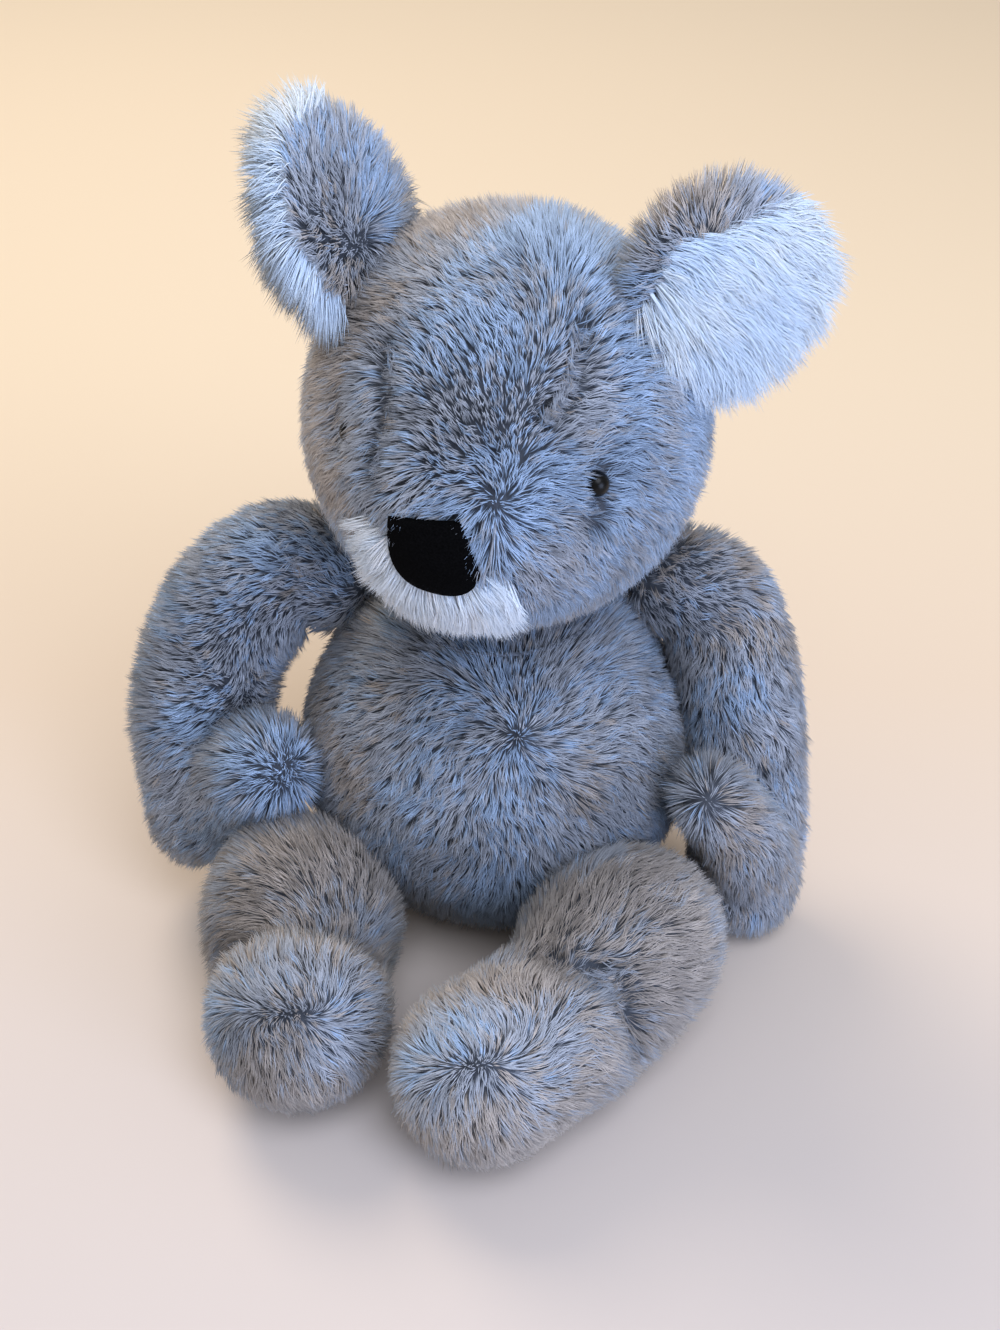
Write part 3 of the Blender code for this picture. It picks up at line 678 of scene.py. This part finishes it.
# Painted light and shade: paler on the top of the crown and in the whorls, darker along the seams and in the
# dents, paler on the toy's right cheek and darker on its left; the cheeks' and whorls' roots are lifted out
# of the painted root shade, and the pile is tinted warm towards the toy's right side as painted warm light.
tone = 0.10 * ramp(elevation, 45, 65) - 0.38 * np.clip(creases, 0, 1) + 0.12 * speckle
tone += (
    0.22 * speckle * ripple(roots[0], 7, 27) + np.where(azimuth < 0, 0.12, -0.18) * cheek
    + 0.25 * whorled(roots[0], HEAD_WHORLS, 7)
)
lift = 0.3 * np.maximum(cheek * (1 - np.clip(dent, 0, 1)), whorled(roots[0], HEAD_WHORLS, 4))
pile = grown(
    roots, lean, length, width=0.29, seed=22, tuft=5, pull=0.44 - 0.3 * cheek, shade=tone + 0.05,
    warmth=0.5 - 1.1 * ramp(azimuth, -22, -47), fray=0.09, lift=lift,
)
behind = np.abs(azimuth) > NAPE_FROM
gusset = np.abs(azimuth - GUSSET_AT) < GUSSET_HALF[0] + GUSSET_HALF[1] * np.clip(elevation, 0, 60)
for name, mask in (
    ("gusset_pile", ~white & ~behind & gusset),
    ("cheek_pile_left", ~white & ~behind & ~gusset & (azimuth > 0)),
    ("cheek_pile_right", ~white & ~behind & ~gusset & (azimuth <= 0)),
    ("nape_pile", ~white & behind),
):
    sewn(name, pile, mask, GREY_PILE, "head")

WHITE_PILE = pile_material(
    "white long-pile plush", ("f0f0f4", "ecf3fc", "e2eefc"),
    [(0, 0.9), (0.4, 0.97), (0.8, 1), (1, 1)], spread=0.08, sheen=0.3,
)
roots = sown(
    head, density=4.5, seed=25, keep=lambda places, normals: head_share(places, normals) * chin_share(places)
)
hang = flat(unit(radiating(roots, nose_spot)) + np.array((0, 0, -0.5)), roots[1])
chin = grown(
    roots, unit(hang) * 0.85, length=11.5, width=0.26, seed=26,
    tuft=24, pull=0.6, warmth=0.7, fray=0.1, rings=2, droop=1.0,
)
sewn("chin_pile", chin, slice(None), WHITE_PILE, "head")


# ---- Nose -------------------------------------------------------------------------------------
# A shield of black suede cloth over a thin pad, turned under and sewn to the front of the muzzle.
# Grey pile falls over its top edge and over its upper left side.

NOSE_HALVES = (13.0, 14.5)
NOSE_THICK = 3.4


def suede_material(name, code):
    """Polyester suede, brushed to a short matt nap: near black, with slightly paler rubbed streaks."""
    look, tree, shader = new_look(name, {"Roughness": 1.0, "Specular IOR Level": 0.04})
    place = add_node(tree, "ShaderNodeTexCoord").outputs["Object"]
    nap = add_node(tree, "ShaderNodeTexNoise", {0: place, 2: 1 / (0.5 * MM), 3: 4.0})
    stops = [(0.35, linear(code, 0.5)), (0.7, linear(code, 1.6))]
    colour = add_node(tree, "ShaderNodeValToRGB", {0: nap.outputs[0]}, stops)
    relief = {"Height": nap.outputs[0], "Distance": 0.15 * MM, "Strength": 0.6}
    painted(tree, shader, colour, add_node(tree, "ShaderNodeBump", relief))
    return look


bm = bmesh.new()
bmesh.ops.create_uvsphere(bm, u_segments=48, v_segments=24, radius=1)
for vert in bm.verts:
    x, y, z = vert.co
    square = (abs(x) ** 3 + abs(z) ** 3) ** (1 / 3) or 1
    round_out = math.hypot(x, z) / square
    x, z = x * round_out * NOSE_HALVES[0], z * round_out * NOSE_HALVES[1]
    x *= 1 + 0.10 * z / NOSE_HALVES[1]
    z = min(z, NOSE_TOP + NOSE_SLOPE * x + 0.04 * z)
    x = min(x, NOSE_CORNER + NOSE_CUT * (NOSE_TOP - z))
    way = toward(NOSE_AT[0] + x / NOSE_DEGREE, NOSE_AT[1] + z / NOSE_DEGREE)
    vert.co = on_head(way, -y * NOSE_THICK / 2 - NOSE_THICK * 0.1) * MM
bmesh.ops.recalc_face_normals(bm, faces=bm.faces)
nose = new_piece("nose_pad_suede", bm)
nose.data.shade_smooth()
nose.data.materials.append(suede_material("black suede", "060607"))
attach(nose, "head")
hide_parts("nose_pad")


# ---- Eyes -------------------------------------------------------------------------------------
# Two glossy black beads, moulded on shanks that lock into white washers inside the head.
# Each sits deep in the pile, so that little of it shows.


def bead_material(name):
    """Moulded acrylic bead, tumbled glossy: black with a small sharp highlight."""
    look, tree, shader = new_look(name, {"Roughness": 0.3, "Specular IOR Level": 0.2})
    place = add_node(tree, "ShaderNodeTexCoord").outputs["Object"]
    dust = add_node(tree, "ShaderNodeTexNoise", {0: place, 2: 1 / (0.8 * MM)})
    stops = [(0.4, linear("020203")), (0.75, linear("08090a"))]
    painted(tree, shader, add_node(tree, "ShaderNodeValToRGB", {0: dust.outputs[0]}, stops))
    return look


BEAD = bead_material("black acrylic bead")
for side, angles in EYES.items():
    bm = bmesh.new()
    middle = on_head(toward(*angles), -EYE_SUNK[side])
    bmesh.ops.create_uvsphere(bm, u_segments=32, v_segments=20, radius=EYE_RADIUS * MM)
    bmesh.ops.translate(bm, vec=middle * MM, verts=bm.verts)
    bead = new_piece(f"eye_bead_{side}", bm)
    bead.data.shade_smooth()
    bead.data.materials.append(BEAD)
    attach(bead, "head")
    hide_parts(f"eye_{side}")


# ---- Ears -------------------------------------------------------------------------------------
# Each ear is a flat cushion, grey pile behind and long white fluff in front, gathered to a narrow
# root that is sewn to the head. The fluff is combed outwards and falls over the rim.

EAR_HALVES = (27.0, 28.0, 9.5)
EAR_PILE_DEPTH = 4.6
EARS = {  # the place on the head, the way out along the ear, and the way that its white side faces
    "left": ((0.730, -0.130, 0.600), (0.90, 0.40, 0.17), (0.40, -0.90, 0.12)),
    "right": ((-0.600, 0.100, 0.790), (-0.455, 0.09, 0.886), (-0.785, 0.433, -0.443)),
}
EAR_STANDOFF = 12.0
FLUFF_FROM = {"left": (14.0, -28.0), "right": (0.0, 0.0)}  # where the fluff is combed from, up and out
BACK_FROM = -6.0  # where the back's pile is combed from, out along the ear
GREY_GROUND_RIM = (3.0, -2.5)  # how far the grey ground and the grey roots reach round the rim, up and out
GREY_ROOTS_RIM = (3.5, -3.0)
FLUFF = pile_material(
    "white ear fluff", ("e2e8ee", "d6e2ee", "c9dbf0"),
    [(0, 0.92), (0.4, 0.97), (0.8, 1), (1, 1)], spread=0.06, sheen=0.4,
)


def ear_share(places, normals):
    """Pile everywhere but on the root inside the head."""
    return np.where(within(places, HEAD_MIDDLE, HEAD_HALVES, -6), 0.0, 1.0)


for side, (place, out, face) in EARS.items():
    place, out, face = (Vector(v).normalized() for v in (place, out, face))
    face = (face - out * face.dot(out)).normalized()
    along = face.cross(out)
    reach = (HEAD_MATRIX.inverted() @ (HEAD_MATRIX.translation + place)).normalized()
    middle = on_head(reach, EAR_STANDOFF)
    axes = Matrix((along, out, face)).transposed().to_4x4()
    bm = bmesh.new()
    verts = ball(bm, (0, 0, 0), [half - EAR_PILE_DEPTH for half in EAR_HALVES], 5)
    bmesh.ops.transform(bm, matrix=Matrix.Translation(middle * MM) @ axes, verts=verts)
    ear = stuffed(f"ear_{side}_skin", bm, voxel=1.5, rounds=3)
    up, right, facing, centre = (np.array(v) for v in (along, out, face, middle))
    ground_rim, roots_rim = (up * rim[0] + right * rim[1] for rim in (GREY_GROUND_RIM, GREY_ROOTS_RIM))

    def white_side(places, normals):
        """The face's fluff, without the grey rim, and the fluff that turns over the edge onto the back."""
        high, far = (places - centre) @ up, (places - centre) @ right
        if side == "left":
            return (normals @ facing > -0.1) & (high < 15) & (high - 1.2 * far < 31)
        return (normals @ facing > 0.1) | ((normals @ facing > -0.8) & (far * 0.60 - high * 0.80 > 5))

    skinned(
        ear, GREY_GROUND, f"ear_{side}", (f"ear_{side}_back", f"ear_{side}_lining"),
        lambda places, normals: white_side(places + ground_rim, normals),
    )
    roots = sown(
        ear, density=2.7, seed=31,
        keep=lambda places, normals: ear_share(places, normals) * ~white_side(places + roots_rim, normals),
    )
    back = grown(
        roots, radiating(roots, centre + right * BACK_FROM) * 0.95, length=8.4, width=0.28, seed=32,
        tuft=6, pull=0.34, shade=0.12, warmth=-0.1, fray=0.08, lift=0.2,
    )
    sewn(f"ear_{side}_back_pile", back, slice(None), GREY_PILE, f"ear_{side}")
    roots = sown(
        ear, density=5.4, seed=33,
        keep=lambda places, normals: ear_share(places, normals) * white_side(places, normals),
    )
    away = radiating(roots, centre + up * FLUFF_FROM[side][0] + right * FLUFF_FROM[side][1])
    front = grown(
        roots, away * 0.95, length=13 + 4 * ramp((roots[0] - centre) @ right, 14, 24), width=0.26, seed=34,
        tuft=10, pull=0.3, warmth=0.6, fray=0.15, rings=2, droop=4.5,
    )
    sewn(f"ear_{side}_fluff", front, slice(None), FLUFF, f"ear_{side}")


# ---- Arms -------------------------------------------------------------------------------------
# Each arm is a soft stuffed tube, sewn on at the shoulder, that hangs in a bow and turns in at a paw.
# The pile radiates from the paw's tip and lies outwards along the upper arm.

ARM_LENGTH = 100.0
ARM_WARMTH = {"left": -0.1, "right": 0.3}
ARM_FRONT = {"left": (0.2, -1, 0.25), "right": (-0.2, -1, 0.25)}  # the way that the pile's front piece faces
ARM_ROUTES = {  # across, back, up, as shares of the arm's length from the shoulder, and of its radius
    "left": (
        ((0, 0, 0, 0.855), (0.13, -0.04, -0.035, 0.96), (0.2, -0.12, -0.183, 1.03),
         (0.24, -0.21, -0.41, 1.02), (0.265, -0.305, -0.645, 0.95), (0.262, -0.37, -0.841, 0.93)),
        ((0.263, -0.395, -0.743, 0.85), (0.223, -0.485, -0.583, 0.77), (0.118, -0.535, -0.393, 0.66)),
    ),
    "right": (
        ((0, 0, 0, 0.855), (-0.125, 0.002, 0.065, 0.98), (-0.235, -0.035, 0.0, 1.06),
         (-0.34, -0.085, -0.129, 1.03), (-0.402, -0.14, -0.315, 1.046), (-0.418, -0.195, -0.5, 1.023),
         (-0.412, -0.235, -0.675, 0.985)),
        ((-0.365, -0.245, -0.625, 0.98), (-0.300, -0.295, -0.53, 0.93), (-0.205, -0.385, -0.40, 0.84)),
    ),
}
ARM_WHORLS = {
    "left": (
        ((55.6, -50, 69), 14, 0.95, None),
        ((72, -20, 95), 30, 0.9, (0.3, -0.3, -0.9)),
        ((82, -30, 55), 30, 0.85, (0.5, -0.3, -0.8)),
        ((56, -3, 112), 14, 0.85, (0.8, -0.3, 0.3)),
        ((75, -45, 25), 20, 0.9, (0.2, -0.4, -0.9)),
    ),
    "right": (
        ((-64, -24, 62), 17, 0.95, None),
        ((-95, -12, 95), 22, 0.7, (-0.7, -0.2, 0.5)),
        ((-75, 4, 128), 22, 0.9, (-0.9, -0.2, 0.3)),
        ((-90, -25, 45), 20, 0.85, (-0.6, -0.2, -0.8)),
        ((-78, -10, 104), 12, 0.4, (0.3, -0.2, -0.8)),
    ),
}


def bowed(rows, start, reach, radius, steps=6):
    """Balls, in mm, along a smooth line through the rows."""
    rows = np.array(rows, float)
    rows = np.concatenate([rows[:1] * 2 - rows[1:2], rows, rows[-1:] * 2 - rows[-2:-1]])
    found = []
    for a, b, c, d in zip(rows, rows[1:], rows[2:], rows[3:]):
        for t in np.linspace(0, 1, steps, endpoint=False):
            curve = 2 * b + (c - a) * t + (2 * a - 5 * b + 4 * c - d) * t**2 + (3 * b - a - 3 * c + d) * t**3
            found.append(0.5 * curve)
    found.append(rows[-2])
    return [(np.array(start) + row[:3] * reach, row[3] * radius) for row in found]


def limb_share(places, normals, whorls):
    """Pile everywhere but on the root inside the torso, worn thin below and crowded in the paw's whorl."""
    keep = np.where(normals[:, 1] > 0.5, 0.85, 1.05)
    keep = np.where(within(places, TORSO_MIDDLE, TORSO_HALVES, -6), 0, keep)
    return keep * np.where(normals[:, 2] < -0.85, 0.6, 1) * (1 + 1.2 * whorled(places, whorls))


def limb_skin(name, routes, creases, fill, **settings):
    """A limb's stuffed skin, grown from the balls along its routes."""
    bm = bmesh.new()
    for route in routes:
        for middle, radius in route:
            ball(bm, middle, (radius - PILE_DEPTH,) * 3, 3)
    skin = stuffed(f"{name}_skin", bm, **settings)
    creased(skin, creases)
    skinned(skin, GREY_GROUND, name, (f"{name}_cover", f"{name}_filling"))
    return skin


for side, routes in ARM_ROUTES.items():
    routes = [bowed(rows, SHOULDERS[side], ARM_LENGTH, ARM_RADIUS) for rows in routes]
    arm = limb_skin(f"arm_{side}", routes, (), 0.55, voxel=1.6, rounds=12)
    roots = sown(arm, density=2.1, seed=41, keep=lambda p, n: limb_share(p, n, ARM_WHORLS[side]))
    paw = whorled(roots[0], ARM_WHORLS[side], 14)
    lean = combed(*roots, ARM_WHORLS[side])
    # Painted light: the pile is paler in the paw's whorl, where its tips face out, and its roots are lifted
    # out of the painted root shade there.
    pile = grown(
        roots, lean, length=7.6 + 2.4 * paw, width=0.30, seed=42, tuft=6, pull=0.4,
        shade=-0.06 + 0.15 * paw, warmth=ARM_WARMTH[side], fray=0.09, lift=0.12 + 0.15 * paw,
    )
    front = roots[1] @ np.array(ARM_FRONT[side]) > 0
    sewn(f"arm_{side}_pile_front", pile, front, GREY_PILE, f"arm_{side}")
    sewn(f"arm_{side}_pile_back", pile, ~front, GREY_PILE, f"arm_{side}")


# ---- Legs -------------------------------------------------------------------------------------
# Each leg is a short stuffed tube, sewn on at the hip, with a crease where the thigh folds into the
# foot. The pile radiates from the middle of the sole, which faces up and forwards.

LEG_LENGTH = 63.0
LEG_ROUTES = {  # across and forwards, as shares of the leg's length from the hip, and of its radius
    "left": ((0, 0, 1), (-0.210, -0.310, 0.86), (-0.420, -0.540, 0.87), (-0.625, -0.710, 0.88)),
    "right": ((0, 0, 1), (0.030, -0.310, 0.86), (0.042, -0.440, 0.89), (0.040, -0.585, 0.93)),
}
LEG_SPAN = (50, 130)  # how far forwards the hip and the foot are, where the pile is split in two
HIP_LIFT = 0.4  # that a leg's route lies over the floor
# painted shade: how much darker each leg's pile is, the right more than the left
LEG_SHADE = {"left": -0.06, "right": -0.28}
LEG_CREASES = {
    "left": ((8, -82, 50), (16, -88.9, 51.6), (30, -92, 47), (37.9, -100.4, 25)),
    "right": ((-79.6, -74, 35.9), (-54.3, -78.3, 52), (-32, -74.8, 36.7)),
}
LEG_WHORLS = {
    "left": (
        (((-25, -119, 43), (3, -119, 47)), 20, 1.0, None),
        ((27, -79.5, 53), 20, 0.85, (0.6, 0.3, 0.1)),
        ((40, -100, 35), 14, 0.9, (0.7, -0.3, -0.4)),
    ),
    "right": (
        (((-72, -101, 45), (-45, -103, 46)), 20, 1.0, None),
        ((-56, -58, 59), 20, 0.7, (-0.3, 0.2, 0.3)),
        ((-80, -60, 40), 18, 0.85, (-0.6, -0.3, -0.5)),
    ),
}
for side, rows in LEG_ROUTES.items():
    hip = (*HIPS[side][:2], HIP_LIFT)
    spaced = [(x, y, share * THIGH_RADIUS / LEG_LENGTH, share) for x, y, share in rows]
    crease = LEG_CREASES[side]
    route = bowed(spaced, hip, LEG_LENGTH, THIGH_RADIUS)
    leg = limb_skin(f"leg_{side}", [route], [(crease, 5.0, 5.0)], 0.6, voxel=1.7, rounds=5)
    roots = sown(leg, density=2.1, seed=51, keep=lambda p, n: limb_share(p, n, LEG_WHORLS[side]))
    sole = np.linalg.norm(apart(roots[0], LEG_WHORLS[side][0][0]), axis=1)
    lean = parted(*roots, combed(*roots, LEG_WHORLS[side]), [crease])
    # Painted light and shade: paler on the sole, which faces up, and darker in the crease; the pile is
    # tinted warm on the thigh and cooler on the sole, as painted lamp light.
    shade = LEG_SHADE[side] + 0.3 * fading(sole / 26) - 0.35 * nearness(*roots, crease, 2.5)
    pile = grown(
        roots, lean, length=8.0, width=0.30, seed=52, tuft=5, pull=0.28, shade=shade,
        warmth=-0.9 + 0.9 * fading(sole / 22), fray=0.08, lift=0.32,
    )
    midline = np.interp(-roots[0][:, 1], LEG_SPAN, [hip[0], hip[0] + rows[-1][0] * LEG_LENGTH])
    inner = roots[0][:, 0] > midline
    sewn(f"leg_{side}_pile_inner", pile, inner, GREY_PILE, f"leg_{side}")
    sewn(f"leg_{side}_pile_outer", pile, ~inner, GREY_PILE, f"leg_{side}")


# ---- Neck thread and eye washers ----------------------------------------------------------------
# A doubled thread draws the neck seam up, down in the pile. Behind each eye a white washer is pushed
# on the bead's shank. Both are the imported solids, in their real finishes.

# Sewing thread, two plies twisted and waxed, dyed to match the pile: fine slanting ridges, hardly seen.
thread, tree, shader = new_look("bonded polyester thread", {"Roughness": 0.7})
place = add_node(tree, "ShaderNodeTexCoord").outputs["Object"]
plies = {0: place, 1: 1 / (0.9 * MM) / 6.3, 2: 1.0}
plies = add_node(tree, "ShaderNodeTexWave", plies, bands_direction="DIAGONAL").outputs[0]
stops = [(0.2, linear("4f5560")), (0.8, linear("666d7a"))]
relief = {"Height": plies, "Distance": 0.15 * MM, "Strength": 0.7}
colour = add_node(tree, "ShaderNodeValToRGB", {0: plies}, stops)
painted(tree, shader, colour, add_node(tree, "ShaderNodeBump", relief))

# Natural plastic, injection moulded and left satin: milky and slightly mottled.
washer, tree, shader = new_look("moulded polypropylene", {"Roughness": 0.42})
place = add_node(tree, "ShaderNodeTexCoord").outputs["Object"]
flow = add_node(tree, "ShaderNodeTexNoise", {0: place, 2: 1 / (3 * MM)})
stops = [(0.3, linear("d3d3cf")), (0.7, linear("e4e4e0"))]
painted(tree, shader, add_node(tree, "ShaderNodeValToRGB", {0: flow.outputs[0]}, stops))

for name, look in (("neck_thread", thread), ("eye_washer_left", washer), ("eye_washer_right", washer)):
    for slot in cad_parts[name].material_slots:
        slot.material = look


# ---- Setting ----------------------------------------------------------------------------------
# A cream sheet with painted light on it, warm far off and cooler and darker near by, under soft daylight,
# seen as the koala's owner would see it from a chair.

FLOOR_FADE = (-0.25, 0.45)  # metres along Y over which the sheet's painted light turns from cool shade near by to warm
AIM = (0, 0, 0.1)
CAMERA_AT = (0, -0.4065, 0.3844)
CAMERA_TILT = 53.5  # degrees up from straight down

bm = bmesh.new()
bmesh.ops.create_grid(bm, x_segments=1, y_segments=1, size=3)
floor = new_piece("floor", bm)
# Bed sheet, woven too fine to see: matt, with painted warm light towards the window and painted cool shade
# near by.
look, tree, shader = new_look("cream cotton sheet", {"Roughness": 0.95})
place = add_node(tree, "ShaderNodeTexCoord").outputs["Object"]
split = add_node(tree, "ShaderNodeSeparateXYZ", {0: place})
near = {0: split.outputs["Y"], 1: FLOOR_FADE[0], 2: FLOOR_FADE[1]}
near = add_node(tree, "ShaderNodeMapRange", near, interpolation_type="SMOOTHSTEP")
stops = [(0, linear("d0c7c4")), (0.5, linear("dac9b7")), (1, linear("e3d3bc"))]
painted(tree, shader, add_node(tree, "ShaderNodeValToRGB", {0: near.outputs[0]}, stops))
floor.data.materials.append(look)

for name, place, size, energy, colour in (
    ("window", (-0.6, 0.8, 1.4), 0.9, 15, "ffeed8"),
    ("room", (0.3, -0.85, 1.5), 1.2, 18, "e6eeff"),
    ("sky", (0.75, -0.95, 0.3), 0.8, 10, "c4d8ff"),
):
    lamp = bpy.data.lights.new(name, "AREA")
    lamp.shape = "DISK"
    lamp.size = size
    lamp.energy = energy
    lamp.color = linear(colour)[:3]
    stand = placed(name, lamp)
    stand.location = place
    stand.rotation_euler = (Vector(AIM) - Vector(place)).to_track_quat("-Z", "Y").to_euler()

world = bpy.data.worlds.new("room light")
bpy.context.scene.world = world
world.use_nodes = True
world.node_tree.nodes["Background"].inputs["Color"].default_value = linear("f4f2ef")
world.node_tree.nodes["Background"].inputs["Strength"].default_value = 0.52

camera = placed("camera", bpy.data.cameras.new("camera"))
camera.data.lens = 46.0
camera.data.sensor_width = 36.0
camera.location = CAMERA_AT
camera.rotation_euler = (math.radians(CAMERA_TILT), 0, 0)
bpy.context.scene.camera = camera
bpy.context.scene.view_settings.view_transform = "Standard"
